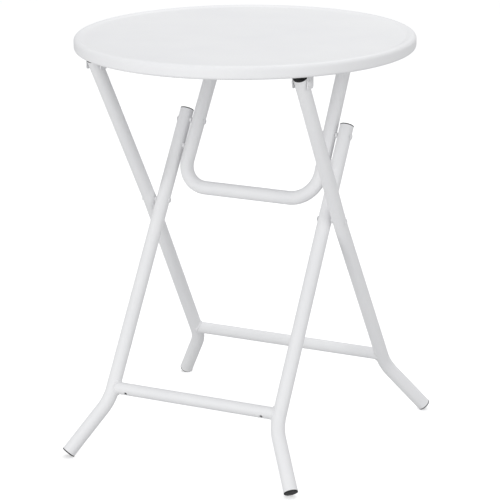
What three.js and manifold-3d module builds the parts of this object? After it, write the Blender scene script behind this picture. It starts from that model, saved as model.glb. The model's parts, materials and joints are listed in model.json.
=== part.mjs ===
// Round folding table: a sheet-steel top on two crossed tube frames, locked open by a U-shaped brace.
// Millimetres, +Z up. The origin is on the floor under the centre of the top, X runs along the
// crossbars and -Y is the front. Side views below are in the Y-Z plane.
import * as THREE from 'three';
import { mergeVertices } from 'three/addons/utils/BufferGeometryUtils.js';
import Module from 'manifold-3d';

const wasm = await Module();
wasm.setup();

// ---- Sheet top ----
const TOP_HEIGHT = 737;
const TOP_RADIUS = 301.5;
const RIM_DEPTH = 23;
const SHEET = 1.2;
const FIELD_RECESS = 3;
const FIELD_RADIUS = 281;
const CROWN_RADIUS = 294;
const HEM_RADIUS = 5;
const HEM_TURN = THREE.MathUtils.degToRad(150);
const TOP_SEGMENTS = 72;

// ---- Tubes ----
const TUBE_R = 12.5;
const BORE_R = 11;
const BAR_R = 11;
const BAR_BORE_R = 9.6;
const TUBE_SIDES = 24;
const BORE_SIDES = 12;
const FOOT_BEND_R = 90;
const BEND_STEPS = 6;
const VENT_R = 3;
const VENT_INSET = 31;
const VENT_TILT = THREE.MathUtils.degToRad(30);

// ---- Side-view linkage ----
const CROSSING = { y: -15, z: 419.3 };
const HINGE_Z = 700;
const OUTER_LEAN = THREE.MathUtils.degToRad(30.92);
const INNER_LEAN = THREE.MathUtils.degToRad(32.28);
const BRACE_PIVOT_S = 157.2;
const STUD_S = 107;
const INNER_TOP_S = 176.5;
const HINGE_OVERRUN = 11;
const BRACE_BAR_S = 31.8;

// ---- Half spacings of the tubes, at the crossing, and their drift in X per mm up the frame ----
const OUTER_X = 190.8;
const OUTER_RISE_UP = 0.0227;
const OUTER_RISE_DOWN = 0.0138;
const INNER_X = 163;
const INNER_RISE = -0.008;
const BRACE_X = 135;
const BRACE_RISE = -0.021;
const BRACE_BEND_R = 50;

// ---- Feet ----
const OUTER_KNEE_Z = 97;
const INNER_KNEE_Z = 98;
const OUTER_SPLAY = THREE.MathUtils.degToRad(29.3);
const INNER_SPLAY = THREE.MathUtils.degToRad(27.2);
const REAR_BAR_Z = 119.4;
const FRONT_BAR_Z = 117.6;
const FOOT_WEAR = 0.7;
const FLOOR_BLOCK = { width: 80, depth: 20 };

// ---- Plugs ----
const PLUG_STEM_R = 10.2;
const PLUG_STEM = 14;
const HINGE_PLUG_STEM = 5;
const PLUG_FLANGE = 1.2;
const PLUG_DOME = 1.3;

// ---- Fasteners ----
const PIN_R = 3;
const HOLE_R = 3.3;
const HOLE_REACH = 20;
const HEAD_R = 5.5;
const HEAD_H = 1.6;
const NUT_R = 5;
const NUT_H = 1.8;
const SPACER_R = 5;
const WASHER_PLAY = 0.45;
const BARREL_R = 4;
const BARREL_HOLE_R = 4.3;
const BARREL_THREAD = 15;
const STUD_R = 4.5;
const SMALL_SIDES = 16;

// ---- Hinge brackets ----
const BRACKET_PLATE = 1.5;
const BRACKET_INSIDE = 26.6;
const BRACKET_BOTTOM_Z = 689.5;
const BRACKET_FRONT = 7;
const BRACKET_BACK = 15;
const BRACKET_CORNER = 4;

// ---- Running gap between separate pieces ----
const GAP = 0.3;

const SIDES = [['left', -1], ['right', 1]];

// Painted steel of the top, the tubes and the pressed parts.
function whitePowderCoat() {
  return new THREE.MeshStandardMaterial({ color: 0xececee, roughness: 0.42, metalness: 0 });
}

// Moulded plastic of the plugs.
function blackPlastic() {
  return new THREE.MeshStandardMaterial({ color: 0x16171a, roughness: 0.55, metalness: 0 });
}

// A point of a leaning frame: x across the table, s along the lean from the crossing. The frame leans
// to the back where toBack is 1 and to the front where it is -1.
function onFrame(x, s, lean, toBack) {
  const y = CROSSING.y + toBack * s * Math.sin(lean);
  const z = CROSSING.z + s * Math.cos(lean);
  return new THREE.Vector3(x, y, z);
}

// Distance along a leaning frame at which it reaches height z.
function frameDistance(z, lean) {
  return (z - CROSSING.z) / Math.cos(lean);
}

// Centre line given by stations, so that straight runs need two rings and bends get several.
class StationPath extends THREE.Curve {
  constructor(stations) {
    super();
    this.stations = stations;
  }

  at(u) {
    return this.stations[Math.round(u * (this.stations.length - 1))];
  }

  getPoint(u, target = new THREE.Vector3()) {
    return target.copy(this.at(u).point);
  }

  getPointAt(u, target) {
    return this.getPoint(u, target);
  }

  getTangentAt(u, target = new THREE.Vector3()) {
    return target.copy(this.at(u).tangent);
  }
}

// Straight runs between corner points, each inner corner rounded by a bend of the given radius.
function bentLine(corners, radii) {
  const stations = [];
  const first = corners[1].clone().sub(corners[0]).normalize();
  stations.push({ point: corners[0], tangent: first });
  for (let i = 1; i < corners.length - 1; i += 1) {
    const into = corners[i].clone().sub(corners[i - 1]).normalize();
    const out = corners[i + 1].clone().sub(corners[i]).normalize();
    const turn = into.angleTo(out);
    const radius = radii[i - 1];
    if (radius === 0) {
      stations.push({ point: corners[i], tangent: into.clone().add(out).normalize() });
      continue;
    }
    const reach = radius * Math.tan(turn / 2);
    const toCentre = out.clone().addScaledVector(into, -into.dot(out)).normalize();
    const start = corners[i].clone().addScaledVector(into, -reach);
    const centre = start.clone().addScaledVector(toCentre, radius);
    for (let k = 0; k <= BEND_STEPS; k += 1) {
      const a = (turn * k) / BEND_STEPS;
      const point = centre.clone();
      point.addScaledVector(toCentre, -radius * Math.cos(a));
      point.addScaledVector(into, radius * Math.sin(a));
      const tangent = into.clone().multiplyScalar(Math.cos(a)).addScaledVector(toCentre, Math.sin(a));
      stations.push({ point, tangent });
    }
  }
  const end = corners[corners.length - 1];
  const last = end.clone().sub(corners[corners.length - 2]).normalize();
  stations.push({ point: end, tangent: last });
  return new StationPath(stations);
}

// Round outline of a tube wall, or of a solid bar when no bore is given.
function ringShape(radius, sides, boreRadius = 0, boreSides = 0) {
  const circle = (r, n) => {
    const points = [];
    for (let i = 0; i < n; i += 1) {
      const a = (2 * Math.PI * i) / n;
      points.push(new THREE.Vector2(r * Math.cos(a), r * Math.sin(a)));
    }
    return points;
  };
  const shape = new THREE.Shape(circle(radius, sides));
  if (boreRadius > 0) {
    shape.holes.push(new THREE.Path(circle(boreRadius, boreSides)));
  }
  return shape;
}

function sweep(shape, path) {
  const steps = path.stations.length - 1;
  return new THREE.ExtrudeGeometry(shape, { steps, bevelEnabled: false, extrudePath: path });
}

// Bare copy of a geometry with shared corners.
function welded(geometry) {
  const bare = geometry.index ? geometry.toNonIndexed() : geometry.clone();
  bare.deleteAttribute('normal');
  bare.deleteAttribute('uv');
  return mergeVertices(bare, 1e-4);
}

function toSolid(geometry) {
  const bare = welded(geometry);
  const vertProperties = new Float32Array(bare.attributes.position.array);
  const triVerts = new Uint32Array(bare.index.array);
  return new wasm.Manifold(new wasm.Mesh({ numProp: 3, vertProperties, triVerts }));
}

function toGeometry(solid) {
  const mesh = solid.getMesh();
  const geometry = new THREE.BufferGeometry();
  geometry.setAttribute('position', new THREE.BufferAttribute(new Float32Array(mesh.vertProperties), 3));
  geometry.setIndex(new THREE.BufferAttribute(new Uint32Array(mesh.triVerts), 1));
  return geometry;
}

// The base geometry with every cutter taken away.
function cut(base, cutters) {
  let solid = toSolid(base);
  for (const cutter of cutters) {
    solid = solid.subtract(toSolid(cutter));
  }
  return toGeometry(solid);
}

// Cylinder along X between two x positions.
function crossCylinder(radius, x0, x1, y, z, sides = SMALL_SIDES) {
  const geometry = new THREE.CylinderGeometry(radius, radius, Math.abs(x1 - x0), sides);
  geometry.rotateZ(Math.PI / 2);
  geometry.translate((x0 + x1) / 2, y, z);
  return geometry;
}

// Cutter for a hole drilled across a tube whose centre is at x.
function drilling(radius, x, place) {
  return crossCylinder(radius, x - HOLE_REACH, x + HOLE_REACH, place.y, place.z);
}

// Turned piece along X. The profile lists [distance outward in x, radius] and closes on the axis or itself.
function turned(profile, side, y, z, sides = SMALL_SIDES) {
  const points = profile.map(([along, radius]) => new THREE.Vector2(radius, along));
  const geometry = new THREE.LatheGeometry(points, sides);
  geometry.rotateZ(-side * Math.PI / 2);
  geometry.translate(0, y, z);
  return geometry;
}

// Profile of a low domed head that stands on a face and rises along out, +1 or -1.
function domedHead(face, out) {
  const rise = out * HEAD_H;
  return [
    [face, HEAD_R],
    [face + rise * 0.35, HEAD_R],
    [face + rise * 0.8, HEAD_R * 0.68],
    [face + rise, HEAD_R * 0.3],
    [face + rise, 0],
  ];
}

// Low domed head at the outer end of a plain shank.
function domedPin(shankEnd, headFace, side, y, z) {
  const shank = [[shankEnd, 0], [shankEnd, PIN_R], [headFace, PIN_R]];
  return turned([...shank, ...domedHead(headFace, 1)], side, y, z);
}

// Low nut with a through hole, clamped against the face at x = face and reaching inward.
function capNut(face, side, y, z) {
  const inner = face - NUT_H;
  const profile = [
    [inner, HOLE_R],
    [inner, NUT_R * 0.8],
    [inner + NUT_H * 0.3, NUT_R],
    [face, NUT_R],
    [face, HOLE_R],
    [inner, HOLE_R],
  ];
  return turned(profile, side, y, z);
}

// Plain ring between x0 and x1.
function washer(x0, x1, radius, side, y, z) {
  const profile = [[x0, HOLE_R], [x0, radius], [x1, radius], [x1, HOLE_R], [x0, HOLE_R]];
  return turned(profile, side, y, z);
}

// Steel disc with a recessed field, a raised rounded rim and a hem curled in under the edge.
function sheetTop() {
  const outer = [new THREE.Vector2(0, -FIELD_RECESS)];
  const rampSteps = 4;
  for (let i = 0; i <= rampSteps; i += 1) {
    const t = i / rampSteps;
    const rise = FIELD_RECESS * (0.5 - 0.5 * Math.cos(Math.PI * t));
    outer.push(new THREE.Vector2(FIELD_RADIUS + t * (CROWN_RADIUS - FIELD_RADIUS), rise - FIELD_RECESS));
  }
  const crown = TOP_RADIUS - CROWN_RADIUS;
  const crownSteps = 4;
  for (let i = 1; i <= crownSteps; i += 1) {
    const a = (Math.PI / 2) * (1 - i / crownSteps);
    outer.push(new THREE.Vector2(CROWN_RADIUS + crown * Math.cos(a), -crown + crown * Math.sin(a)));
  }
  const hemSteps = 6;
  for (let i = 0; i <= hemSteps; i += 1) {
    const a = (-HEM_TURN * i) / hemSteps;
    const r = TOP_RADIUS - HEM_RADIUS + HEM_RADIUS * Math.cos(a);
    outer.push(new THREE.Vector2(r, HEM_RADIUS - RIM_DEPTH + HEM_RADIUS * Math.sin(a)));
  }
  const profile = sheetInside(outer).concat(outer.reverse());
  const geometry = new THREE.LatheGeometry(profile, TOP_SEGMENTS);
  geometry.rotateX(Math.PI / 2);
  geometry.translate(0, 0, TOP_HEIGHT);
  return geometry;
}

// The inner face of the sheet: the outer profile moved in by the sheet thickness.
function sheetInside(outer) {
  const last = outer.length - 1;
  return outer.map((point, i) => {
    if (i === 0) {
      return new THREE.Vector2(0, point.y - SHEET);
    }
    const before = point.clone().sub(outer[i - 1]).normalize();
    const after = i === last ? before : outer[i + 1].clone().sub(point).normalize();
    const along = before.clone().add(after).normalize();
    const normal = new THREE.Vector2(along.y, -along.x);
    return point.clone().addScaledVector(normal, SHEET / along.dot(before));
  });
}

// U channel under the top: a web against the sheet and two cheeks that carry the hinge pin.
function hingeBracket(x, y) {
  const half = BRACKET_INSIDE / 2 + BRACKET_PLATE;
  const inside = BRACKET_INSIDE / 2;
  const webTop = TOP_HEIGHT - FIELD_RECESS - SHEET - GAP;
  const webBottom = webTop - BRACKET_PLATE;
  const channel = new THREE.Shape();
  channel.moveTo(-half, BRACKET_BOTTOM_Z);
  channel.lineTo(-inside, BRACKET_BOTTOM_Z);
  channel.lineTo(-inside, webBottom);
  channel.lineTo(inside, webBottom);
  channel.lineTo(inside, BRACKET_BOTTOM_Z);
  channel.lineTo(half, BRACKET_BOTTOM_Z);
  channel.lineTo(half, webTop);
  channel.lineTo(-half, webTop);
  channel.closePath();
  const depth = BRACKET_FRONT + BRACKET_BACK;
  const blank = new THREE.ExtrudeGeometry(channel, { depth, bevelEnabled: false });
  blank.rotateX(Math.PI / 2);
  blank.translate(x, y + BRACKET_BACK, 0);
  return toGeometry(toSolid(blank).intersect(toSolid(cheekOutline(x, y, half))).subtract(
    toSolid(crossCylinder(HOLE_R, x - half - 1, x + half + 1, y, HINGE_Z)),
  ));
}

// Solid block with the side outline of a bracket: square at the top, rounded corners at the bottom.
function cheekOutline(x, y, half) {
  const outline = new THREE.Shape();
  const r = BRACKET_CORNER;
  outline.moveTo(-BRACKET_FRONT, TOP_HEIGHT);
  outline.lineTo(-BRACKET_FRONT, BRACKET_BOTTOM_Z + r);
  outline.absarc(-BRACKET_FRONT + r, BRACKET_BOTTOM_Z + r, r, Math.PI, 1.5 * Math.PI, false);
  outline.lineTo(BRACKET_BACK - r, BRACKET_BOTTOM_Z);
  outline.absarc(BRACKET_BACK - r, BRACKET_BOTTOM_Z + r, r, 1.5 * Math.PI, 2 * Math.PI, false);
  outline.lineTo(BRACKET_BACK, TOP_HEIGHT);
  outline.closePath();
  const depth = 2 * half + 2;
  const block = new THREE.ExtrudeGeometry(outline, { depth, bevelEnabled: false, curveSegments: 4 });
  block.rotateX(Math.PI / 2);
  block.rotateZ(Math.PI / 2);
  block.translate(x - half - 1, y, 0);
  return block;
}

// Push-in plug: a stem in the bore, a flange over the tube end and a low dome.
function plugProfile(stem) {
  const points = [
    new THREE.Vector2(0, -stem),
    new THREE.Vector2(PLUG_STEM_R - 1, -stem),
    new THREE.Vector2(PLUG_STEM_R, -stem + 2),
    new THREE.Vector2(PLUG_STEM_R, GAP),
    new THREE.Vector2(TUBE_R, GAP),
    new THREE.Vector2(TUBE_R, GAP + PLUG_FLANGE),
  ];
  const domeSteps = 5;
  for (let i = 1; i <= domeSteps; i += 1) {
    const a = (Math.PI / 2) * (i / domeSteps);
    const radius = i === domeSteps ? 0 : TUBE_R * Math.cos(a);
    points.push(new THREE.Vector2(radius, GAP + PLUG_FLANGE + PLUG_DOME * Math.sin(a)));
  }
  return points;
}

// A plug pushed into a tube end, pointing along the given direction.
function endPlug(end, direction, stem) {
  const geometry = new THREE.LatheGeometry(plugProfile(stem), TUBE_SIDES);
  const turn = new THREE.Quaternion().setFromUnitVectors(new THREE.Vector3(0, 1, 0), direction);
  geometry.applyQuaternion(turn);
  geometry.translate(end.x, end.y, end.z);
  return geometry;
}

// Foot plug, worn flat where it stands on the floor.
function footPlug(end, direction) {
  const floor = new THREE.BoxGeometry(FLOOR_BLOCK.width, FLOOR_BLOCK.width, FLOOR_BLOCK.depth);
  floor.translate(end.x, end.y, -FLOOR_BLOCK.depth / 2);
  return cut(endPlug(end, direction, PLUG_STEM), [floor]);
}

// Height of a tube end whose foot plug dips below the floor by the worn amount.
function footEndHeight(direction) {
  const plug = endPlug(new THREE.Vector3(), direction, PLUG_STEM);
  plug.computeBoundingBox();
  return -plug.boundingBox.min.z - FOOT_WEAR;
}

// Corner points of one leg, top end first, and the direction in which its foot points.
function legLine(spec, side) {
  const { lean, toBack, splay, kneeS, x, riseUp, riseDown, topS } = spec;
  const knee = onFrame(side * (x + riseDown * -kneeS), kneeS, lean, toBack);
  const down = new THREE.Vector3(
    side * Math.sin(splay),
    -toBack * Math.cos(splay) * Math.sin(lean),
    -Math.cos(splay) * Math.cos(lean),
  );
  const run = (knee.z - footEndHeight(down)) / -down.z;
  const foot = knee.clone().addScaledVector(down, run);
  const top = onFrame(side * (x + riseUp * topS), topS, lean, toBack);
  const crossing = onFrame(side * x, 0, lean, toBack);
  const corners = [top, crossing, knee, foot];
  return { corners, radii: [0, FOOT_BEND_R], down, up: top.clone().sub(crossing).normalize() };
}

function tubeAlong(corners, radii, holes) {
  const tube = sweep(ringShape(TUBE_R, TUBE_SIDES, BORE_R, BORE_SIDES), bentLine(corners, radii));
  return cut(tube, holes);
}

// Crossbar between two legs, its ends shaped to sit against them. The drain holes face out and down.
function crossbar(legs, s, lean, toBack, halfSpan) {
  const centre = onFrame(0, s, lean, toBack);
  const ends = [centre.clone().setX(-halfSpan), centre.clone().setX(halfSpan)];
  const tube = sweep(ringShape(BAR_R, TUBE_SIDES, BAR_BORE_R, BORE_SIDES), bentLine(ends, []));
  const cutters = legs.map((leg) => (
    sweep(ringShape(TUBE_R + GAP, TUBE_SIDES), bentLine(leg.corners, leg.radii))
  ));
  const out = new THREE.Vector3(0, -toBack * Math.cos(VENT_TILT), -Math.sin(VENT_TILT));
  const turn = new THREE.Quaternion().setFromUnitVectors(new THREE.Vector3(0, 1, 0), out);
  for (const [, side] of SIDES) {
    const vent = new THREE.CylinderGeometry(VENT_R, VENT_R, BAR_R, SMALL_SIDES);
    vent.applyQuaternion(turn);
    vent.translate(side * (halfSpan - VENT_INSET), centre.y + out.y * BAR_R, centre.z + out.z * BAR_R);
    cutters.push(vent);
  }
  return cut(tube, cutters);
}

// Outer frame: two long legs hinged under the front of the top, feet at the back.
function outerFrame(add) {
  const hingeS = frameDistance(HINGE_Z, OUTER_LEAN);
  const spec = {
    lean: OUTER_LEAN,
    toBack: -1,
    splay: OUTER_SPLAY,
    kneeS: frameDistance(OUTER_KNEE_Z, OUTER_LEAN),
    x: OUTER_X,
    riseUp: OUTER_RISE_UP,
    riseDown: OUTER_RISE_DOWN,
    topS: hingeS + HINGE_OVERRUN,
  };
  const legs = SIDES.map(([, side]) => legLine(spec, side));
  const hinge = onFrame(0, hingeS, OUTER_LEAN, -1);
  const hingeX = OUTER_X + OUTER_RISE_UP * hingeS;
  SIDES.forEach(([name, side], i) => {
    const leg = legs[i];
    const holes = [
      drilling(HOLE_R, side * OUTER_X, CROSSING),
      drilling(HOLE_R, side * hingeX, hinge),
    ];
    add(`outer_leg_${name}`, tubeAlong(leg.corners, leg.radii, holes), whitePowderCoat());
    add(`outer_top_plug_${name}`, endPlug(leg.corners[0], leg.up, HINGE_PLUG_STEM), blackPlastic());
    add(`rear_foot_${name}`, footPlug(leg.corners[3], leg.down), blackPlastic());
  });
  const barS = frameDistance(REAR_BAR_Z, OUTER_LEAN);
  const bar = crossbar(legs, barS, OUTER_LEAN, -1, OUTER_X - OUTER_RISE_DOWN * barS);
  add('rear_crossbar', bar, whitePowderCoat());
}

// Inner frame: two shorter legs crossing inside the outer pair, feet at the front.
function innerFrame(add) {
  const spec = {
    lean: INNER_LEAN,
    toBack: 1,
    splay: INNER_SPLAY,
    kneeS: frameDistance(INNER_KNEE_Z, INNER_LEAN),
    x: INNER_X,
    riseUp: INNER_RISE,
    riseDown: -INNER_RISE,
    topS: INNER_TOP_S,
  };
  const legs = SIDES.map(([, side]) => legLine(spec, side));
  const pivot = onFrame(0, BRACE_PIVOT_S, INNER_LEAN, 1);
  SIDES.forEach(([name, side], i) => {
    const leg = legs[i];
    const holes = [
      drilling(HOLE_R, side * INNER_X, CROSSING),
      drilling(HOLE_R, side * INNER_X, pivot),
    ];
    add(`inner_leg_${name}`, tubeAlong(leg.corners, leg.radii, holes), whitePowderCoat());
    add(`inner_top_plug_${name}`, endPlug(leg.corners[0], leg.up, PLUG_STEM), blackPlastic());
    add(`front_foot_${name}`, footPlug(leg.corners[3], leg.down), blackPlastic());
  });
  const barS = frameDistance(FRONT_BAR_Z, INNER_LEAN);
  const bar = crossbar(legs, barS, INNER_LEAN, 1, INNER_X + INNER_RISE * barS);
  add('front_crossbar', bar, whitePowderCoat());
}

// Half spacing of the brace arms at a distance along the inner frame.
function braceX(s) {
  return BRACE_X + BRACE_RISE * (s - BRACE_BAR_S);
}

// Brace: one tube bent to a U, arms up to the rear brackets, bottom bar as the handle.
function brace(add) {
  const hingeS = frameDistance(HINGE_Z, INNER_LEAN);
  const topS = hingeS + HINGE_OVERRUN;
  const corners = [
    onFrame(-braceX(topS), topS, INNER_LEAN, 1),
    onFrame(-braceX(BRACE_BAR_S), BRACE_BAR_S, INNER_LEAN, 1),
    onFrame(braceX(BRACE_BAR_S), BRACE_BAR_S, INNER_LEAN, 1),
    onFrame(braceX(topS), topS, INNER_LEAN, 1),
  ];
  const hinge = onFrame(0, hingeS, INNER_LEAN, 1);
  const pivot = onFrame(0, BRACE_PIVOT_S, INNER_LEAN, 1);
  const holes = [];
  for (const [, side] of SIDES) {
    holes.push(drilling(HOLE_R, side * braceX(hingeS), hinge));
    holes.push(drilling(BARREL_HOLE_R, side * braceX(BRACE_PIVOT_S), pivot));
  }
  add('brace_tube', tubeAlong(corners, [BRACE_BEND_R, BRACE_BEND_R], holes), whitePowderCoat());
  SIDES.forEach(([name, side]) => {
    const end = side < 0 ? corners[0] : corners[3];
    const below = side < 0 ? corners[1] : corners[2];
    const up = end.clone().sub(below).normalize();
    add(`brace_top_plug_${name}`, endPlug(end, up, HINGE_PLUG_STEM), blackPlastic());
  });
}

// Bolt, washer and nut where the outer and inner legs cross.
function crossingBolts(add) {
  const { y, z } = CROSSING;
  const outerFace = OUTER_X + TUBE_R + GAP;
  const innerFace = INNER_X - TUBE_R - GAP;
  const gapStart = INNER_X + TUBE_R + WASHER_PLAY;
  const gapEnd = OUTER_X - TUBE_R - WASHER_PLAY;
  for (const [name, side] of SIDES) {
    add(`crossing_bolt_${name}`, domedPin(innerFace - NUT_H, outerFace, side, y, z), whitePowderCoat());
    add(`crossing_washer_${name}`, washer(gapStart, gapEnd, SPACER_R, side, y, z), whitePowderCoat());
    add(`crossing_nut_${name}`, capNut(innerFace, side, y, z), whitePowderCoat());
  }
}

// Bolt, spacer and threaded barrel where the brace turns on the inner legs, and the stud that stops it.
function braceBolts(add) {
  const { y, z } = onFrame(0, BRACE_PIVOT_S, INNER_LEAN, 1);
  const legX = INNER_X + INNER_RISE * BRACE_PIVOT_S;
  const armX = braceX(BRACE_PIVOT_S);
  const armFace = armX + TUBE_R;
  const legFace = legX - TUBE_R;
  const flange = armX - TUBE_R - GAP;
  const barrel = [
    ...domedHead(flange, -1).reverse(),
    [flange, BARREL_R],
    [armFace - GAP, BARREL_R],
    [armFace - GAP, HOLE_R],
    [armFace - BARREL_THREAD, HOLE_R],
    [armFace - BARREL_THREAD, 0],
  ];
  const stud = onFrame(0, STUD_S, INNER_LEAN, 1);
  const studBase = INNER_X + INNER_RISE * STUD_S - TUBE_R - GAP;
  const studTip = braceX(STUD_S) + TUBE_R + GAP;
  const studProfile = [
    [studTip, 0],
    [studTip, STUD_R - 1],
    [studTip + 1, STUD_R],
    [studBase, STUD_R],
    [studBase, 0],
  ];
  for (const [name, side] of SIDES) {
    const bolt = domedPin(armFace + GAP, legX + TUBE_R + GAP, side, y, z);
    add(`brace_bolt_${name}`, bolt, whitePowderCoat());
    const ring = washer(armFace + GAP, legFace - GAP, SPACER_R, side, y, z);
    add(`brace_spacer_${name}`, ring, whitePowderCoat());
    add(`brace_barrel_nut_${name}`, turned(barrel, side, y, z), whitePowderCoat());
    add(`brace_stop_stud_${name}`, turned(studProfile, side, stud.y, stud.z), whitePowderCoat());
  }
}

// Brackets under the top with their hinge pins and nuts, for the outer legs and for the brace arms.
function hingeSet(add, label, hinge, x) {
  const half = BRACKET_INSIDE / 2 + BRACKET_PLATE;
  for (const [name, side] of SIDES) {
    add(`${label}_bracket_${name}`, hingeBracket(side * x, hinge.y), whitePowderCoat());
    const nutFace = x - half - GAP;
    const pin = domedPin(nutFace - NUT_H, x + half + GAP, side, hinge.y, hinge.z);
    add(`${label}_hinge_pin_${name}`, pin, whitePowderCoat());
    add(`${label}_hinge_nut_${name}`, capNut(nutFace, side, hinge.y, hinge.z), whitePowderCoat());
  }
}

function buildTable() {
  const table = new THREE.Group();
  table.name = 'folding_table';
  const add = (name, geometry, material) => {
    const mesh = new THREE.Mesh(geometry, material);
    mesh.name = name;
    table.add(mesh);
  };
  add('tabletop', sheetTop(), whitePowderCoat());
  const outerHingeS = frameDistance(HINGE_Z, OUTER_LEAN);
  const braceHingeS = frameDistance(HINGE_Z, INNER_LEAN);
  hingeSet(add, 'front', onFrame(0, outerHingeS, OUTER_LEAN, -1), OUTER_X + OUTER_RISE_UP * outerHingeS);
  hingeSet(add, 'rear', onFrame(0, braceHingeS, INNER_LEAN, 1), braceX(braceHingeS));
  outerFrame(add);
  innerFrame(add);
  brace(add);
  crossingBolts(add);
  braceBolts(add);
  return table;
}

export default buildTable();
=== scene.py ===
# Looks of a round folding table: white powder-coated steel with black plastic plugs.
#
# Lengths are millimetres until a mesh is made, where they become metres. The frame has its origin
# on the floor under the centre of the top, X along the crossbars, -Y to the front and Z up.
import json
import math

import bmesh
import bpy
from mathutils import Matrix, Vector
from mathutils.bvhtree import BVHTree


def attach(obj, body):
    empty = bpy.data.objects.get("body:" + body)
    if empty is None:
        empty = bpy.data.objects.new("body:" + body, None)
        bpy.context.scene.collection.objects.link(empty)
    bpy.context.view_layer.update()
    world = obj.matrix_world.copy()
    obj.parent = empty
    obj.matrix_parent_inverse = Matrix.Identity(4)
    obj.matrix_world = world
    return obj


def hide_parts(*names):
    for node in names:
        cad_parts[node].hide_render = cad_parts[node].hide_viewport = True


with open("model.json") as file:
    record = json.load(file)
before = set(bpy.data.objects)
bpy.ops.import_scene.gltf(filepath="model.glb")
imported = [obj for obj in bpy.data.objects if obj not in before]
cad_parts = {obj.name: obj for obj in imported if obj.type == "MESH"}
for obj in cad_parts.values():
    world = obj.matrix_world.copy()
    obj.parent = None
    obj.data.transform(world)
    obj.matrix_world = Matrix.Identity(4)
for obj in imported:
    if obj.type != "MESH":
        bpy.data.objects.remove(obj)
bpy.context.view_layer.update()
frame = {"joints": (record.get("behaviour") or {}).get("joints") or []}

MM = 0.001
SIDES = (("left", -1), ("right", 1))
X_AXIS = Vector((1, 0, 0))
Y_AXIS = Vector((0, 1, 0))
Z_AXIS = Vector((0, 0, 1))

# ---- Sheet top ----
TOP_HEIGHT = 737
TOP_RADIUS = 301.5
RIM_DEPTH = 23
SHEET = 1.2
FIELD_RECESS = 3
FIELD_RADIUS = 281
CROWN_RADIUS = 294
HEM_RADIUS = 5
HEM_TURN = 150
TOP_SIDES = 288
FIELD_RINGS = 6
RAMP_STEPS = 12

# ---- Tubes ----
TUBE_R = 12.5
BORE_R = 11
BAR_R = 11
BAR_BORE_R = 9.6
BAR_SINK = 0.4
EDGE = 0.3
TUBE_SIDES = 64
BEND_STEP = math.radians(2.5)
FOOT_BEND_R = 90
BRACE_BEND_R = 50
HOLE_REACH = 8
CUT_REACH = 20
VENT_R = 3
VENT_INSET = 31
VENT_TILT = math.radians(30)

# ---- Side-view linkage: the pivots stand in the Y-Z plane ----
pivots = {joint["name"]: Vector(joint["pos_m"]) / MM for joint in frame["joints"]}
CROSSING = pivots["fold_inner_legs"]
OUTER_HINGE = pivots["fold_outer_legs"]
BRACE_HINGE = pivots["fold_brace"]
BRACE_PIVOT_S = 157.2
STUD_S = 107
INNER_TOP_S = 176.5
HINGE_OVERRUN = 11
BRACE_BAR_S = 31.8

# ---- Half spacings of the tubes and their drift in X per mm up the frame ----
OUTER_X = 190.8
OUTER_RISE_UP = 0.0227
OUTER_RISE_DOWN = 0.0138
INNER_X = 163
INNER_RISE = -0.008
BRACE_X = 135
BRACE_RISE = -0.021

# ---- Feet and crossbars ----
OUTER_KNEE_Z = 97
INNER_KNEE_Z = 98
OUTER_SPLAY = math.radians(29.3)
INNER_SPLAY = math.radians(27.2)
REAR_BAR_Z = 119.4
FRONT_BAR_Z = 117.6
FOOT_WEAR = 0.7

# ---- Plugs ----
PLUG_STEM_R = 10.7
PLUG_STEM = 14
HINGE_PLUG_STEM = 5
PLUG_FLANGE = 1.2
PLUG_DOME = 1.3
PLUG_LEAD_IN = 1
PLUG_ROUND = 0.5
GATE_R = 1.3
GATE_DEPTH = 0.35

# ---- Fasteners ----
PIN_R = 3
HOLE_R = 3.3
HEAD_R = 5.5
HEAD_H = 1.6
NUT_R = 5
NUT_H = 1.8
SPACER_R = 5
BARREL_R = 4
BARREL_HOLE_R = 4.3
KEY_R = 2
KEY_DEPTH = 1.2
STUD_R = 4.5
STUD_TAPER = 1
STUD_SINK = 1
CHAMFER = 0.3
SMALL_SIDES = 48

# ---- Hinge brackets ----
BRACKET_PLATE = 1.5
BRACKET_INSIDE = 26.6
BRACKET_BOTTOM_Z = 689.5
BRACKET_FRONT = 7
BRACKET_BACK = 15
BRACKET_CORNER = 4
BRACKET_BEND = 1.2
BRACKET_EDGE = 0.25

# ---- Weld beads ----
BEAD_R = 1.7
BEAD_SIDES = 16
BEAD_RIPPLE = 0.12
BEAD_PITCH = 1.9
BEAD_LIFT = 0.3
WELD_DROP = 0.9
WELD_RUN = [2 + 0.45 * i for i in range(41)]

# ---- Running gap between separate pieces ----
GAP = 0.3

# ---- Powder coat: shades of white, and noise scales per metre ----
WHITE_DARK = (0.83, 0.83, 0.842)
WHITE_LIGHT = (0.855, 0.855, 0.862)
CLOUD_SCALE = 9
PEEL_SCALE = 420
PEEL_DEPTH = 0.00012
GRAIN_SCALE = 2200
GRAIN_DEPTH = 0.00003
COAT_ROUGHNESS = (0.42, 0.54)
COAT_SPECULAR = 0.3

# ---- Black plastic ----
BLACK_CLEAN = (0.0085, 0.0088, 0.0095)
BLACK_SCUFFED = (0.075, 0.073, 0.07)
SPARK_SCALE = 1600
SPARK_DEPTH = 0.00005
SMEAR_SCALE = 160
SCUFF_HEIGHT = 0.005
PLASTIC_ROUGHNESS = (0.42, 0.62)

# ---- Stage: lights are (name, azimuth, elevation, distance in m, size in m, power in W) ----
SKY = 0.61
SKY_COLOUR = (0.98, 0.99, 1.0, 1)
FLOOR_GLOW = 0.38
FLOOR_BOUNCE = 0.62
FLOOR_SHADE = 0.94
FLOOR_HALF = 30000
FLOOR_THICKNESS = 20
FLOOR_DROP = 0.2
BOUNCE_DROP = 30
LIGHT_AIM = Vector((0, 0, 0.4))
LIGHTS = (
    ("front_box", -12, 14, 4.0, 3.0, 63),
    ("side_box", 75, 22, 4.0, 2.5, 27),
    ("rear_box", 180, 62, 3.5, 2.5, 40),
)

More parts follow.
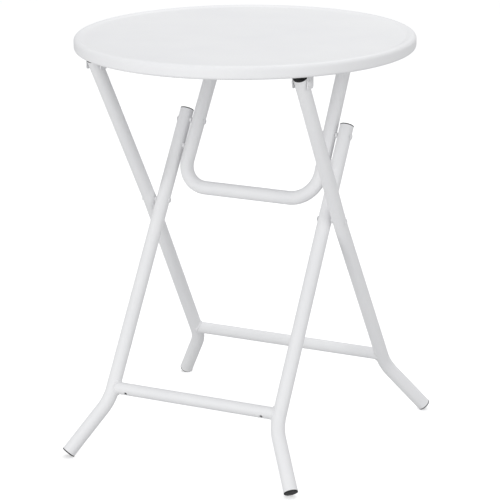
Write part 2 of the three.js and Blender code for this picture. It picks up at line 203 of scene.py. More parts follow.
# ---- Camera: angles in degrees, distance and target in metres, lens in mm ----
CAMERA_AZIMUTH = 26.98
CAMERA_ELEVATION = 15.96
CAMERA_ROLL = -0.46
CAMERA_DISTANCE = 4.09527
CAMERA_TARGET = Vector((0.0065, 0, 0.34049))
CAMERA_LENS = 163.136
CAMERA_SENSOR = 36


# ======== Materials ========

class Nodes:
    """Short way to add and join the shader nodes of one material."""

    def __init__(self, material):
        self.tree = material.node_tree
        self.shader = self.tree.nodes["Principled BSDF"]

    def add(self, kind, **inputs):
        node = self.tree.nodes.new(kind)
        for name, value in inputs.items():
            node.inputs[name].default_value = value
        return node

    def join(self, out, into):
        self.tree.links.new(out, into)

    def noise(self, place, scale, detail, roughness=0.5):
        node = self.add("ShaderNodeTexNoise", Scale=scale, Detail=detail, Roughness=roughness)
        self.join(place, node.inputs["Vector"])
        return node.outputs["Fac"]

    def spread(self, value, low, high, start=0.3, end=0.7):
        node = self.add("ShaderNodeMapRange", **{
            "From Min": start, "From Max": end, "To Min": low, "To Max": high,
        })
        self.join(value, node.inputs["Value"])
        return node.outputs["Result"]

    def times(self, first, second):
        node = self.add("ShaderNodeMath")
        node.operation = "MULTIPLY"
        self.join(first, node.inputs[0])
        self.join(second, node.inputs[1])
        return node.outputs["Value"]

    def blend(self, amount, first, second):
        node = self.tree.nodes.new("ShaderNodeMix")
        node.data_type = "RGBA"
        node.inputs["A"].default_value = (*first, 1)
        node.inputs["B"].default_value = (*second, 1)
        self.join(amount, node.inputs["Factor"])
        return node.outputs["Result"]

    def bump(self, height, strength, distance, under=None):
        node = self.add("ShaderNodeBump", Strength=strength, Distance=distance)
        self.join(height, node.inputs["Height"])
        if under is not None:
            self.join(under, node.inputs["Normal"])
        return node.outputs["Normal"]


def new_material(name):
    material = bpy.data.materials.new(name)
    material.use_nodes = True
    return material, Nodes(material)


def powder_coat():
    """Satin white powder coat: faint orange peel, fine grain in the gloss, barely uneven white."""
    material, nodes = new_material("white_powder_coat")
    place = nodes.add("ShaderNodeTexCoord").outputs["Object"]
    cloud = nodes.noise(place, CLOUD_SCALE, 3)
    peel = nodes.noise(place, PEEL_SCALE, 2)
    grain = nodes.noise(place, GRAIN_SCALE, 1)
    white = nodes.blend(nodes.spread(cloud, 0, 1), WHITE_DARK, WHITE_LIGHT)
    nodes.join(white, nodes.shader.inputs["Base Color"])
    nodes.join(nodes.spread(grain, *COAT_ROUGHNESS), nodes.shader.inputs["Roughness"])
    nodes.shader.inputs["Specular IOR Level"].default_value = COAT_SPECULAR
    coarse = nodes.bump(peel, 0.25, PEEL_DEPTH)
    nodes.join(nodes.bump(grain, 0.12, GRAIN_DEPTH, coarse), nodes.shader.inputs["Normal"])
    return material


def moulded_plastic():
    """Black moulded plastic: fine spark-eroded grain, scuffed grey where a foot meets the floor."""
    material, nodes = new_material("black_plastic")
    place = nodes.add("ShaderNodeTexCoord").outputs["Object"]
    grain = nodes.noise(place, SPARK_SCALE, 3)
    smear = nodes.noise(place, SMEAR_SCALE, 4, 0.65)
    height = nodes.add("ShaderNodeSeparateXYZ")
    nodes.join(place, height.inputs["Vector"])
    low = nodes.spread(height.outputs["Z"], 0.9, 0, 0, SCUFF_HEIGHT)
    scuff = nodes.times(low, nodes.spread(smear, 0, 1, 0.4, 0.62))
    black = nodes.blend(scuff, BLACK_CLEAN, BLACK_SCUFFED)
    nodes.join(black, nodes.shader.inputs["Base Color"])
    nodes.join(nodes.spread(smear, *PLASTIC_ROUGHNESS), nodes.shader.inputs["Roughness"])
    nodes.join(nodes.bump(grain, 0.35, SPARK_DEPTH), nodes.shader.inputs["Normal"])
    return material


WHITE = powder_coat()
BLACK = moulded_plastic()


# ======== Mesh making ========

def skin(rings, loop=False):
    """Closed surface over rings of points. A ring of one point is a pole; a loop joins last to first."""
    bm = bmesh.new()
    rows = [[bm.verts.new(point * MM) for point in ring] for ring in rings]
    pairs = list(zip(rows, rows[1:]))
    if loop:
        pairs.append((rows[-1], rows[0]))
    for low, high in pairs:
        count = max(len(low), len(high))
        for i in range(count):
            j = (i + 1) % count
            if len(low) == 1:
                bm.faces.new((low[0], high[j], high[i]))
            elif len(high) == 1:
                bm.faces.new((low[i], low[j], high[0]))
            else:
                bm.faces.new((low[i], low[j], high[j], high[i]))
    bmesh.ops.recalc_face_normals(bm, faces=bm.faces)
    return bm


def to_mesh(bm):
    mesh = bpy.data.meshes.new("shape")
    bm.to_mesh(mesh)
    bm.free()
    return mesh


def loose_object(name, mesh):
    piece = bpy.data.objects.new(name, mesh)
    bpy.context.scene.collection.objects.link(piece)
    return piece


def finished(base, spare=()):
    """Mesh of an object with its modifiers applied. The object and its tools go."""
    seen = base.evaluated_get(bpy.context.evaluated_depsgraph_get())
    result = bpy.data.meshes.new_from_object(seen)
    for thing in (base, *spare):
        bpy.data.objects.remove(thing)
    return result


def combined(mesh, tools, operation="DIFFERENCE"):
    """The mesh with every tool mesh cut out of it, or kept common to it."""
    base = loose_object("blank", mesh)
    spare = []
    for tool_mesh in tools:
        tool = loose_object("tool", tool_mesh)
        spare.append(tool)
        modifier = base.modifiers.new("shape", "BOOLEAN")
        modifier.operation = operation
        modifier.solver = "EXACT"
        modifier.object = tool
    return finished(base, spare)


def softened(mesh, width):
    """The mesh with its hard edges rounded a little."""
    base = loose_object("blank", mesh)
    modifier = base.modifiers.new("edges", "BEVEL")
    modifier.width = width * MM
    modifier.segments = 2
    modifier.limit_method = "ANGLE"
    modifier.angle_limit = math.radians(50)
    return finished(base)


def add_piece(name, mesh, material, body, *nodes):
    """A shown piece that rides on its body and stands for its CAD nodes."""
    mesh.name = name
    mesh.materials.clear()
    mesh.materials.append(material)
    mesh.shade_smooth()
    mesh.set_sharp_from_angle(angle=math.radians(35))
    piece = loose_object(name, mesh)
    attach(piece, body)
    if nodes:
        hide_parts(*nodes)


def circle(centre, across, beside, radius, sides):
    """Ring of points round a centre in the plane of two unit directions."""
    points = []
    for i in range(sides):
        a = 2 * math.pi * i / sides
        points.append(centre + radius * (math.cos(a) * across + math.sin(a) * beside))
    return points


def turned(profile, origin, axis, sides=SMALL_SIDES):
    """Piece turned about an axis. The profile lists (distance along the axis, radius)."""
    across = axis.orthogonal().normalized()
    beside = axis.cross(across)
    rings = []
    for along, radius in profile:
        centre = origin + along * axis
        rings.append(circle(centre, across, beside, radius, sides) if radius > 0 else [centre])
    return skin(rings, loop=profile[0][1] > 0)


def rod(radius, start, end):
    """Plain rod between two points, for cutting holes."""
    length = (end - start).length
    profile = [(0, 0), (0, radius), (length, radius), (length, 0)]
    return to_mesh(turned(profile, start, (end - start).normalized()))


def cross_rod(radius, x, place):
    """Rod along X through a hinge or pivot, for cutting a hole across a tube or plate at x."""
    start = Vector((x - CUT_REACH, place.y, place.z))
    return rod(radius, start, start + 2 * CUT_REACH * X_AXIS)


def arc(centre, radii, start, end, steps):
    """Points on a round or oval arc as (u, v) pairs, with angles in degrees."""
    points = []
    for i in range(steps + 1):
        a = math.radians(start + (end - start) * i / steps)
        points.append((centre[0] + radii[0] * math.cos(a), centre[1] + radii[1] * math.sin(a)))
    return points


def prism(outline, place, low, high):
    """Solid between two planes. The outline is (u, v) pairs; place turns u, v and depth to a point."""
    bm = bmesh.new()
    ends = [[bm.verts.new(place(u, v, w) * MM) for u, v in outline] for w in (low, high)]
    for face in ends:
        bm.faces.new(face)
    count = len(outline)
    for i in range(count):
        j = (i + 1) % count
        bm.faces.new((ends[0][i], ends[0][j], ends[1][j], ends[1][i]))
    bmesh.ops.recalc_face_normals(bm, faces=bm.faces)
    return to_mesh(bm)


# ======== Tubes ========

def bent_line(corners, radii, near=()):
    """Centre line as (point, tangent) stations: straight runs, round bends, and a station on
    either side of each hole place in near, which keeps the facets round it small."""
    runs = [(b - a).normalized() for a, b in zip(corners, corners[1:])]
    stations = [(corners[0], runs[0])]
    for corner, radius, into, out in zip(corners[1:-1], radii, runs, runs[1:]):
        if radius == 0:
            stations.append((corner, (into + out).normalized()))
            continue
        turn = into.angle(out)
        to_centre = (out - into * into.dot(out)).normalized()
        start = corner - into * radius * math.tan(turn / 2)
        centre = start + to_centre * radius
        steps = math.ceil(turn / BEND_STEP)
        for k in range(steps + 1):
            a = turn * k / steps
            point = centre + radius * (into * math.sin(a) - to_centre * math.cos(a))
            stations.append((point, into * math.cos(a) + to_centre * math.sin(a)))
    stations.append((corners[-1], runs[-1]))
    for place in near:
        for offset in (-HOLE_REACH, HOLE_REACH):
            add_station(stations, place, offset)
    return stations


def add_station(stations, place, offset):
    """Adds a station on the straight run beside a place, offset along the run."""
    for i in range(len(stations) - 1):
        start, end = stations[i][0], stations[i + 1][0]
        run = end - start
        tangent = run.normalized()
        along = (place - start).dot(tangent)
        aside = (place - start - along * tangent).length
        if aside < TUBE_R and 0.5 < along + offset < run.length - 0.5:
            stations.insert(i + 1, (start + (along + offset) * tangent, tangent))
            return


def rings_along(stations, radii, sides=TUBE_SIDES):
    """Rings round the centre line, carried along it without twist."""
    tangent = stations[0][1]
    across = tangent.orthogonal().normalized()
    rings = []
    for (point, following), radius in zip(stations, radii):
        across = tangent.rotation_difference(following) @ across
        tangent = following
        rings.append(circle(point, across, tangent.cross(across), radius, sides))
    return rings


def tube(corners, radii, near=()):
    """Tube open right through, with broken edges at both ends."""
    stations = bent_line(corners, radii, near)
    (first, start), (last, end) = stations[0], stations[-1]
    stations.insert(1, (first + EDGE * start, start))
    stations.insert(-1, (last - EDGE * end, end))
    outer = [TUBE_R] * len(stations)
    outer[0] = outer[-1] = TUBE_R - EDGE
    inside = rings_along(stations, [BORE_R] * len(stations))
    return to_mesh(skin(rings_along(stations, outer) + inside[::-1], loop=True))


def bead(points, closed):
    """Weld bead along points, with the small ripples that a torch leaves."""
    count = len(points)
    stations = []
    lengths = [0]
    for i, point in enumerate(points):
        before = points[i - 1] if closed or i else point
        after = points[(i + 1) % count] if closed or i < count - 1 else point
        stations.append((point, (after - before).normalized()))
        lengths.append(lengths[-1] + (after - point).length)
    total = lengths[count if closed else count - 1]
    waves = round(total / BEAD_PITCH)
    radii = []
    for i in range(count):
        t = lengths[i] / total
        taper = 1 if closed else math.sqrt(max(0.05, 1 - (2 * t - 1) ** 6))
        radii.append(taper * (BEAD_R + BEAD_RIPPLE * math.cos(2 * math.pi * waves * t)))
    rings = rings_along(stations, radii, BEAD_SIDES)
    if closed:
        return to_mesh(skin(rings, loop=True))
    return to_mesh(skin([[points[0]], *rings, [points[-1]]]))


# ======== Places in the leaning frames ========

OUTER_UP = (OUTER_HINGE - CROSSING).normalized()
INNER_UP = (BRACE_HINGE - CROSSING).normalized()


def on_frame(x, s, up):
    """Point of a leaning frame: x across the table, s along the lean from the crossing."""
    return Vector((x, 0, 0)) + CROSSING + s * up


def frame_distance(z, up):
    return (z - CROSSING.z) / up.z


def brace_x(s):
    return BRACE_X + BRACE_RISE * (s - BRACE_BAR_S)


OUTER_HINGE_S = frame_distance(OUTER_HINGE.z, OUTER_UP)
BRACE_HINGE_S = frame_distance(BRACE_HINGE.z, INNER_UP)
OUTER_HINGE_X = OUTER_X + OUTER_RISE_UP * OUTER_HINGE_S
BRACE_HINGE_X = brace_x(BRACE_HINGE_S)
BRACE_PIVOT = on_frame(0, BRACE_PIVOT_S, INNER_UP)


# ======== Plugs ========

def plug_profile(stem):
    """Stem, flange with a soft edge, and a low dome with the small pit of its moulding gate."""
    flange = GAP + PLUG_FLANGE
    apex = flange + PLUG_DOME
    profile = [(-stem, 0), (-stem, PLUG_STEM_R - PLUG_LEAD_IN)]
    profile += [(PLUG_LEAD_IN - stem, PLUG_STEM_R), (0, PLUG_STEM_R), (0, TUBE_R - PLUG_ROUND)]
    profile += [(PLUG_ROUND * 0.3, TUBE_R - PLUG_ROUND * 0.3), (PLUG_ROUND, TUBE_R)]
    profile += arc((flange, 0), (PLUG_DOME, TUBE_R), 90, 4, 16)
    profile += [(apex, GATE_R), (apex - GATE_DEPTH, GATE_R - 0.2), (apex - GATE_DEPTH, 0)]
    return profile


def plug_reach(down):
    """Height of a tube end above the floor when its plug stands there, worn a little flat."""
    sideways = math.sqrt(1 - down.z ** 2)
    profile = plug_profile(PLUG_STEM)
    return max(-down.z * along + sideways * radius for along, radius in profile) - FOOT_WEAR


def plug(name, end, direction, stem, body, node):
    bm = turned(plug_profile(stem), end, direction, TUBE_SIDES)
    everything = bm.verts[:] + bm.edges[:] + bm.faces[:]
    floor = bmesh.ops.bisect_plane(
        bm, geom=everything, plane_co=(0, 0, 0), plane_no=(0, 0, -1), clear_outer=True
    )
    rim = [item for item in floor["geom_cut"] if isinstance(item, bmesh.types.BMEdge)]
    if rim:
        bmesh.ops.edgeloop_fill(bm, edges=rim)
    add_piece(name, to_mesh(bm), BLACK, body, node)


# ======== Leg frames ========

def leg_corners(side, up, x, rise_up, rise_down, top_s, knee_z, splay):
    """Corner points of one leg from its top end to its foot, and the direction of the foot."""
    knee_s = frame_distance(knee_z, up)
    knee = on_frame(side * (x - rise_down * knee_s), knee_s, up)
    down = X_AXIS * side * math.sin(splay) - up * math.cos(splay)
    foot = knee + down * (knee.z - plug_reach(down)) / -down.z
    top = on_frame(side * (x + rise_up * top_s), top_s, up)
    return [top, on_frame(side * x, 0, up), knee, foot], down


def leg_frame(label, body, foot_label, bar_label, bar_z, up, x, top_stem, hole_places, shape):
    """Two legs with their plugs and feet, joined by a crossbar."""
    legs = []
    for name, side in SIDES:
        corners, down = leg_corners(side, up, x, **shape)
        near = [Vector((corners[1].x, place.y, place.z)) for place in hole_places]
        blank = tube(corners, (0, FOOT_BEND_R), near)
        legs.append(BVHTree.FromPolygons(
            [v.co.copy() for v in blank.vertices], [tuple(p.vertices) for p in blank.polygons]
        ))
        holes = [cross_rod(HOLE_R, corners[1].x, place) for place in hole_places]
        leg = combined(blank, holes)
        add_piece(f"{label}_leg_tube_{name}", leg, WHITE, body, f"{label}_leg_{name}")
        upward = (corners[0] - corners[1]).normalized()
        node = f"{label}_top_plug_{name}"
        plug(f"{label}_top_cap_{name}", corners[0], upward, top_stem, body, node)
        node = f"{foot_label}_foot_{name}"
        plug(f"{foot_label}_foot_cap_{name}", corners[3], down, PLUG_STEM, body, node)
    bar_s = frame_distance(bar_z, up)
    crossbar(bar_label, legs, on_frame(0, bar_s, up), x - shape["rise_down"] * bar_s, body)


def leg_hits(legs, centre, radius):
    """For each leg, the points where straight lines along a round bar meet it."""
    found = []
    for tree, side in zip(legs, (-1, 1)):
        ring = circle(centre, Y_AXIS, Z_AXIS, radius, TUBE_SIDES)
        found.append([tree.ray_cast(point * MM, X_AXIS * side)[0] / MM for point in ring])
    return found


def crossbar(label, legs, centre, half_span, body):
    """Crossbar coped onto both legs, with a weld bead at each end. Its drain holes face out and down."""
    left, right = leg_hits(legs, centre, BAR_R)
    left_bore, right_bore = leg_hits(legs, centre, BAR_BORE_R)
    vent_x = half_span - VENT_INSET
    inner_ends = vent_x - HOLE_REACH, vent_x + HOLE_REACH

    def row(ring, x):
        return [Vector((x, point.y, point.z)) for point in ring]

    def shifted(ring, by):
        return [point + X_AXIS * by for point in ring]

    spans = [-inner_ends[1], -inner_ends[0], inner_ends[0], inner_ends[1]]
    outside = [shifted(left, -BAR_SINK), *(row(left, x) for x in spans), shifted(right, BAR_SINK)]
    inside = [shifted(right_bore, BAR_SINK), shifted(left_bore, -BAR_SINK)]
    bar = to_mesh(skin(outside + inside, loop=True))
    out = Vector((0, math.copysign(math.cos(VENT_TILT), centre.y), -math.sin(VENT_TILT)))
    vents = []
    for _, side in SIDES:
        spot = centre + X_AXIS * side * vent_x
        vents.append(rod(VENT_R, spot + out * BAR_R / 2, spot + out * BAR_R * 1.5))
    add_piece(f"{label}_tube", combined(bar, vents), WHITE, body, label)
    for (name, side), ring in zip(SIDES, (left, right)):
        lifted = []
        for point in ring:
            out = (point - Vector((point.x, centre.y, centre.z))).normalized()
            lifted.append(point + BEAD_LIFT * out - X_AXIS * side * BEAD_LIFT)
        add_piece(f"{label}_weld_{name}", bead(lifted, closed=True), WHITE, body)


# ======== Sheet top ========

def sheet_top():
    """Steel disc: flat recessed field, raised rounded rim, hem curled in under the edge."""
    outer = [(FIELD_RADIUS * i / FIELD_RINGS, TOP_HEIGHT - FIELD_RECESS) for i in range(FIELD_RINGS)]
    for i in range(RAMP_STEPS):
        t = i / RAMP_STEPS
        rise = FIELD_RECESS * (0.5 - 0.5 * math.cos(math.pi * t))
        radius = FIELD_RADIUS + t * (CROWN_RADIUS - FIELD_RADIUS)
        outer.append((radius, TOP_HEIGHT - FIELD_RECESS + rise))
    crown = TOP_RADIUS - CROWN_RADIUS
    outer += arc((CROWN_RADIUS, TOP_HEIGHT - crown), (crown, crown), 90, 0, 12)
    hem_z = TOP_HEIGHT - RIM_DEPTH + HEM_RADIUS
    outer += arc((TOP_RADIUS - HEM_RADIUS, hem_z), (HEM_RADIUS, HEM_RADIUS), 0, -HEM_TURN, 20)
    inner = [sheet_inside(outer, i) for i in range(len(outer))]
    profile = [(z, radius) for radius, z in outer + inner[::-1]]
    bm = turned(profile, Vector(), Z_AXIS, TOP_SIDES)
    add_piece("tabletop_sheet", to_mesh(bm), WHITE, "top", "tabletop")


def sheet_inside(outer, i):
    """Point of the inner face, one sheet thickness in from point i of the outer face."""
    point = Vector(outer[i])
    if i == 0:
        return (0, point.y - SHEET)
    before = (point - Vector(outer[i - 1])).normalized()
    after = (Vector(outer[i + 1]) - point).normalized() if i + 1 < len(outer) else before
    along = (before + after).normalized()
    inner = point + Vector((along.y, -along.x)) * SHEET / along.dot(before)
    return tuple(inner)


# ======== Fasteners ========

def domed_head(face, out):
    """Profile of a low domed head that stands on a face and rises along out."""
    side_height = HEAD_H * 0.3
    dome = arc((face + out * side_height, 0), (out * (HEAD_H - side_height), HEAD_R), 90, 0, 12)
    apex = (face + out * HEAD_H, 0)
    return [(face, HEAD_R - 0.2), (face + out * 0.2, HEAD_R), *dome[:-1], apex]


def domed_pin(name, shank_end, face, side, place, body, node):
    """Low domed head on a plain shank. Distances run outward in X."""
    out = math.copysign(1, face - shank_end)
    profile = [(shank_end, 0), (shank_end, PIN_R - CHAMFER), (shank_end + out * CHAMFER, PIN_R)]
    profile += [(face, PIN_R), *domed_head(face, out)]
    origin = Vector((0, place.y, place.z))
    add_piece(name, to_mesh(turned(profile, origin, X_AXIS * side)), WHITE, body, node)


def hexagon(radius):
    """Corners of a hexagon as (u, v) pairs."""
    return [(radius * math.cos(a), radius * math.sin(a)) for a in (math.pi / 3 * i for i in range(6))]


def hex_nut(name, face, side, place, body, node):
    """Thin hexagon nut with chamfered corners, clamped against a face and reaching inward."""
    def at(u, v, w):
        return Vector((side * w, place.y + u, place.z + v))

    blank = prism(hexagon(NUT_R), at, face - NUT_H, face)
    slope = 0.45
    flat = NUT_R * 0.87
    full = NUT_R + 0.02
    profile = [(face - NUT_H, 0), (face - NUT_H, flat), (face - NUT_H + slope, full)]
    profile += [(face - slope, full), (face, flat), (face, 0)]
    origin = Vector((0, place.y, place.z))
    chamfered = combined(blank, [to_mesh(turned(profile, origin, X_AXIS * side))], "INTERSECT")
    bore = cross_rod(HOLE_R, side * (face - NUT_H / 2), place)
    add_piece(name, combined(chamfered, [bore]), WHITE, body, node)


def ring(name, x0, x1, side, place, body, node):
    """Spacer ring with chamfered edges between two distances in X."""
    low, high = sorted((x0, x1))
    profile = [(low, HOLE_R), (low, SPACER_R - CHAMFER), (low + CHAMFER, SPACER_R)]
    profile += [(high - CHAMFER, SPACER_R), (high, SPACER_R - CHAMFER), (high, HOLE_R)]
    origin = Vector((0, place.y, place.z))
    add_piece(name, to_mesh(turned(profile, origin, X_AXIS * side)), WHITE, body, node)


def crossing_bolts():
    """Bolt, spacer and nut where the outer and inner legs cross."""
    body = "outer_frame"
    nut_face = INNER_X - TUBE_R - GAP
    for name, side in SIDES:
        head_face = OUTER_X + TUBE_R
        domed_pin(
            f"crossing_pin_{name}", nut_face - NUT_H, head_face, side, CROSSING, body,
            f"crossing_bolt_{name}",
        )
        ring(
            f"crossing_ring_{name}", INNER_X + TUBE_R + GAP, OUTER_X - TUBE_R, side, CROSSING,
            body, f"crossing_washer_{name}",
        )
        hex_nut(f"crossing_hex_{name}", nut_face, side, CROSSING, body, f"crossing_nut_{name}")


def brace_bolts():
    """Bolt, spacer and sleeve nut where the brace turns on the inner legs, and its stop stud."""
    leg_x = INNER_X + INNER_RISE * BRACE_PIVOT_S
    arm_x = brace_x(BRACE_PIVOT_S)
    arm_face = arm_x + TUBE_R
    sleeve_face = arm_x - TUBE_R - GAP
    stud = on_frame(0, STUD_S, INNER_UP)
    stud_base = INNER_X + INNER_RISE * STUD_S - TUBE_R + STUD_SINK
    stud_tip = brace_x(STUD_S) + TUBE_R + GAP
    for name, side in SIDES:
        domed_pin(
            f"brace_pin_{name}", arm_face + GAP, leg_x + TUBE_R, side, BRACE_PIVOT, "inner_frame",
            f"brace_bolt_{name}",
        )
        ring(
            f"brace_ring_{name}", arm_face + GAP, leg_x - TUBE_R, side, BRACE_PIVOT,
            "inner_frame", f"brace_spacer_{name}",
        )
        sleeve = [(arm_face - GAP, 0), (arm_face - GAP, BARREL_R), (sleeve_face, BARREL_R)]
        sleeve += domed_head(sleeve_face, -1)
        origin = Vector((0, BRACE_PIVOT.y, BRACE_PIVOT.z))
        blank = to_mesh(turned(sleeve, origin, X_AXIS * side))
        add_piece(
            f"brace_sleeve_{name}", combined(blank, [hex_socket(sleeve_face - HEAD_H, side)]), WHITE,
            "brace", f"brace_barrel_nut_{name}",
        )
        tip = [(stud_tip, 0), (stud_tip, STUD_R - STUD_TAPER)]
        tip += [(stud_tip + CHAMFER, STUD_R - CHAMFER), (stud_tip + STUD_TAPER, STUD_R)]
        tip += [(stud_base, STUD_R), (stud_base, 0)]
        blank = turned(tip, Vector((0, stud.y, stud.z)), X_AXIS * side)
        node = f"brace_stop_stud_{name}"
        add_piece(f"brace_stop_{name}", to_mesh(blank), WHITE, "inner_frame", node)


def hex_socket(face, side):
    """Cutter for the key socket in a sleeve nut's head."""
    def at(u, v, w):
        return Vector((side * w, BRACE_PIVOT.y + u, BRACE_PIVOT.z + v))

    return prism(hexagon(KEY_R), at, face - 1, face + KEY_DEPTH)


# ======== Hinges under the top ========

def bracket(name, x, hinge, body, node):
    """Pressed U channel: a web welded to the sheet and two cheeks with rounded corners."""
    inside = BRACKET_INSIDE / 2
    half = inside + BRACKET_PLATE
    web_top = TOP_HEIGHT - FIELD_RECESS - SHEET
    web_bottom = web_top - BRACKET_PLATE
    bend = BRACKET_BEND
    big = bend + BRACKET_PLATE
    outline = [(-half, BRACKET_BOTTOM_Z)]
    outline += arc((big - half, web_top - big), (big, big), 180, 90, 8)
    outline += arc((half - big, web_top - big), (big, big), 90, 0, 8)
    outline += [(half, BRACKET_BOTTOM_Z), (inside, BRACKET_BOTTOM_Z)]
    outline += arc((inside - bend, web_bottom - bend), (bend, bend), 0, 90, 6)
    outline += arc((bend - inside, web_bottom - bend), (bend, bend), 90, 180, 6)
    outline += [(-inside, BRACKET_BOTTOM_Z)]
    front, back = hinge.y - BRACKET_FRONT, hinge.y + BRACKET_BACK
    channel = prism(outline, lambda u, v, w: Vector((x + u, w, v)), front, back)
    r = BRACKET_CORNER
    cheek = [(front, TOP_HEIGHT)]
    cheek += arc((front + r, BRACKET_BOTTOM_Z + r), (r, r), 180, 270, 8)
    cheek += arc((back - r, BRACKET_BOTTOM_Z + r), (r, r), 270, 360, 8)
    cheek += [(back, TOP_HEIGHT)]
    block = prism(cheek, lambda u, v, w: Vector((w, u, v)), x - half - 1, x + half + 1)
    shape = combined(combined(channel, [block], "INTERSECT"), [cross_rod(HOLE_R, x, hinge)])
    add_piece(name, softened(shape, BRACKET_EDGE), WHITE, body, node)
    for label, outward in (("inner", -1), ("outer", 1)):
        weld_x = x + outward * math.copysign(half - 1, x)
        run = [Vector((weld_x, front + y, web_top - WELD_DROP)) for y in WELD_RUN]
        add_piece(f"{name}_weld_{label}", bead(run, closed=False), WHITE, body)


def hinges(label, hinge, x):
    """A bracket, pin and nut on each side, for the outer legs or for the brace arms."""
    half = BRACKET_INSIDE / 2 + BRACKET_PLATE
    for name, side in SIDES:
        bracket(f"{label}_channel_{name}", side * x, hinge, "top", f"{label}_bracket_{name}")
        nut_face = x - half
        domed_pin(
            f"{label}_pin_{name}", nut_face - NUT_H, x + half, side, hinge, "top",
            f"{label}_hinge_pin_{name}",
        )
        hex_nut(f"{label}_hex_{name}", nut_face, side, hinge, "top", f"{label}_hinge_nut_{name}")


# ======== Brace ========

def brace():
    """One tube bent to a U: arms up to the rear brackets, bottom bar as the handle."""
    top_s = BRACE_HINGE_S + HINGE_OVERRUN
    corners = []
    for side, s in ((-1, top_s), (-1, BRACE_BAR_S), (1, BRACE_BAR_S), (1, top_s)):
        corners.append(on_frame(side * brace_x(s), s, INNER_UP))
    near, holes = [], []
    for _, side in SIDES:
        hinge_x, pivot_x = side * BRACE_HINGE_X, side * brace_x(BRACE_PIVOT_S)
        near += [Vector((hinge_x, BRACE_HINGE.y, BRACE_HINGE.z))]
        near += [Vector((pivot_x, BRACE_PIVOT.y, BRACE_PIVOT.z))]
        holes += [cross_rod(HOLE_R, hinge_x, BRACE_HINGE)]
        holes += [cross_rod(BARREL_HOLE_R, pivot_x, BRACE_PIVOT)]
    bent = combined(tube(corners, (BRACE_BEND_R, BRACE_BEND_R), near), holes)
    add_piece("brace_bent_tube", bent, WHITE, "brace", "brace_tube")
    for (name, _), end, below in zip(SIDES, (corners[0], corners[3]), corners[1:3]):
        upward = (end - below).normalized()
        node = f"brace_top_plug_{name}"
        plug(f"brace_top_cap_{name}", end, upward, HINGE_PLUG_STEM, "brace", node)


# ======== Stage ========

def slab(name, top_z, shade, glow):
    """Wide flat slab with a faintly uneven pale surface that runs past the edge of the picture."""
    half = FLOOR_HALF
    outline = [(-half, -half), (half, -half), (half, half), (-half, half)]
    mesh = prism(outline, lambda u, v, w: Vector((u, v, w)), top_z - FLOOR_THICKNESS, top_z)
    material, nodes = new_material(name)
    place = nodes.add("ShaderNodeTexCoord").outputs["Object"]
    mottle = nodes.spread(nodes.noise(place, 1.5, 2), 0, 1)
    pale = nodes.blend(mottle, (shade - 0.01,) * 3, (shade + 0.01,) * 3)
    nodes.join(pale, nodes.shader.inputs["Base Color"])
    nodes.shader.inputs["Roughness"].default_value = 0.9
    nodes.shader.inputs["Specular IOR Level"].default_value = 0.1
    nodes.shader.inputs["Emission Color"].default_value = (1, 1, 1, 1)
    nodes.shader.inputs["Emission Strength"].default_value = glow
    mesh.materials.append(material)
    piece = loose_object(name, mesh)
    return piece


def floor():
    """The floor that is seen is lit up to white. The one just under it, seen only by the light
    that bounces, is greyer, so that the underside of the table keeps its shade."""
    seen = slab("floor", -FLOOR_DROP, FLOOR_SHADE, FLOOR_GLOW)
    seen.visible_diffuse = False
    seen.visible_glossy = False
    seen.visible_shadow = False
    bounce = slab("floor_bounce", -BOUNCE_DROP, FLOOR_BOUNCE, 0)
    bounce.visible_camera = False


def around(azimuth, elevation):
    """Unit direction from the table towards a place at an azimuth and elevation in degrees."""
    a, e = math.radians(azimuth), math.radians(elevation)
    return Vector((math.sin(a) * math.cos(e), -math.cos(a) * math.cos(e), math.sin(e)))


def softbox(name, azimuth, elevation, distance, size, power):
    """Square area light aimed at the middle of the table."""
    light = bpy.data.lights.new(name, "AREA")
    light.shape = "SQUARE"
    light.size = size
    light.energy = power
    lamp = bpy.data.objects.new(name, light)
    bpy.context.scene.collection.objects.link(lamp)
    towards = around(azimuth, elevation)
    lamp.location = LIGHT_AIM + towards * distance
    lamp.rotation_mode = "QUATERNION"
    lamp.rotation_quaternion = towards.to_track_quat("Z", "Y")


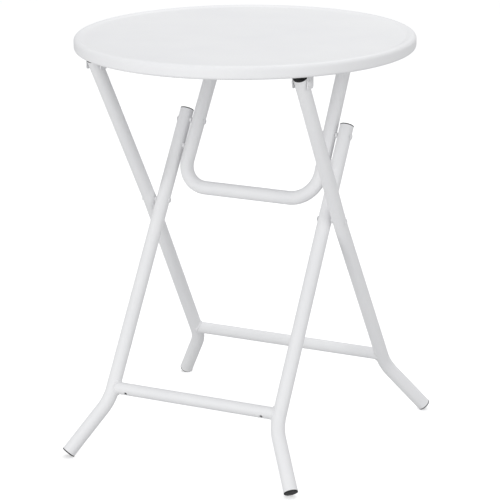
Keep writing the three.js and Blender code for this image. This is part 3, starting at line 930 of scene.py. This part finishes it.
def studio():
    world = bpy.data.worlds.new("studio")
    world.use_nodes = True
    sky = world.node_tree.nodes["Background"]
    sky.inputs["Color"].default_value = SKY_COLOUR
    sky.inputs["Strength"].default_value = SKY
    bpy.context.scene.world = world
    for name, azimuth, elevation, distance, size, power in LIGHTS:
        softbox(name, azimuth, elevation, distance, size, power)
    bpy.context.scene.view_settings.view_transform = "Standard"


def camera():
    """Long lens from the front right, a little above the top."""
    azimuth, roll = math.radians(CAMERA_AZIMUTH), math.radians(CAMERA_ROLL)
    data = bpy.data.cameras.new("camera")
    data.lens = CAMERA_LENS
    data.sensor_width = CAMERA_SENSOR
    data.clip_end = 200
    eye = bpy.data.objects.new("camera", data)
    bpy.context.scene.collection.objects.link(eye)
    back = around(CAMERA_AZIMUTH, CAMERA_ELEVATION)
    right = Vector((math.cos(azimuth), math.sin(azimuth), 0))
    up = back.cross(right)
    tilted_right = math.cos(roll) * right + math.sin(roll) * up
    tilted_up = math.cos(roll) * up - math.sin(roll) * right
    turn = Matrix((tilted_right, tilted_up, back)).transposed().to_4x4()
    eye.matrix_world = Matrix.Translation(CAMERA_TARGET + back * CAMERA_DISTANCE) @ turn
    bpy.context.scene.camera = eye


sheet_top()
hinges("front", OUTER_HINGE, OUTER_HINGE_X)
hinges("rear", BRACE_HINGE, BRACE_HINGE_X)
leg_frame(
    "outer", "outer_frame", foot_label="rear", bar_label="rear_crossbar", bar_z=REAR_BAR_Z,
    up=OUTER_UP, x=OUTER_X, top_stem=HINGE_PLUG_STEM, hole_places=(CROSSING, OUTER_HINGE),
    shape={
        "rise_up": OUTER_RISE_UP, "rise_down": OUTER_RISE_DOWN,
        "top_s": OUTER_HINGE_S + HINGE_OVERRUN, "knee_z": OUTER_KNEE_Z, "splay": OUTER_SPLAY,
    },
)
leg_frame(
    "inner", "inner_frame", foot_label="front", bar_label="front_crossbar", bar_z=FRONT_BAR_Z,
    up=INNER_UP, x=INNER_X, top_stem=PLUG_STEM, hole_places=(CROSSING, BRACE_PIVOT),
    shape={
        "rise_up": INNER_RISE, "rise_down": -INNER_RISE,
        "top_s": INNER_TOP_S, "knee_z": INNER_KNEE_Z, "splay": INNER_SPLAY,
    },
)
brace()
crossing_bolts()
brace_bolts()
floor()
studio()
camera()
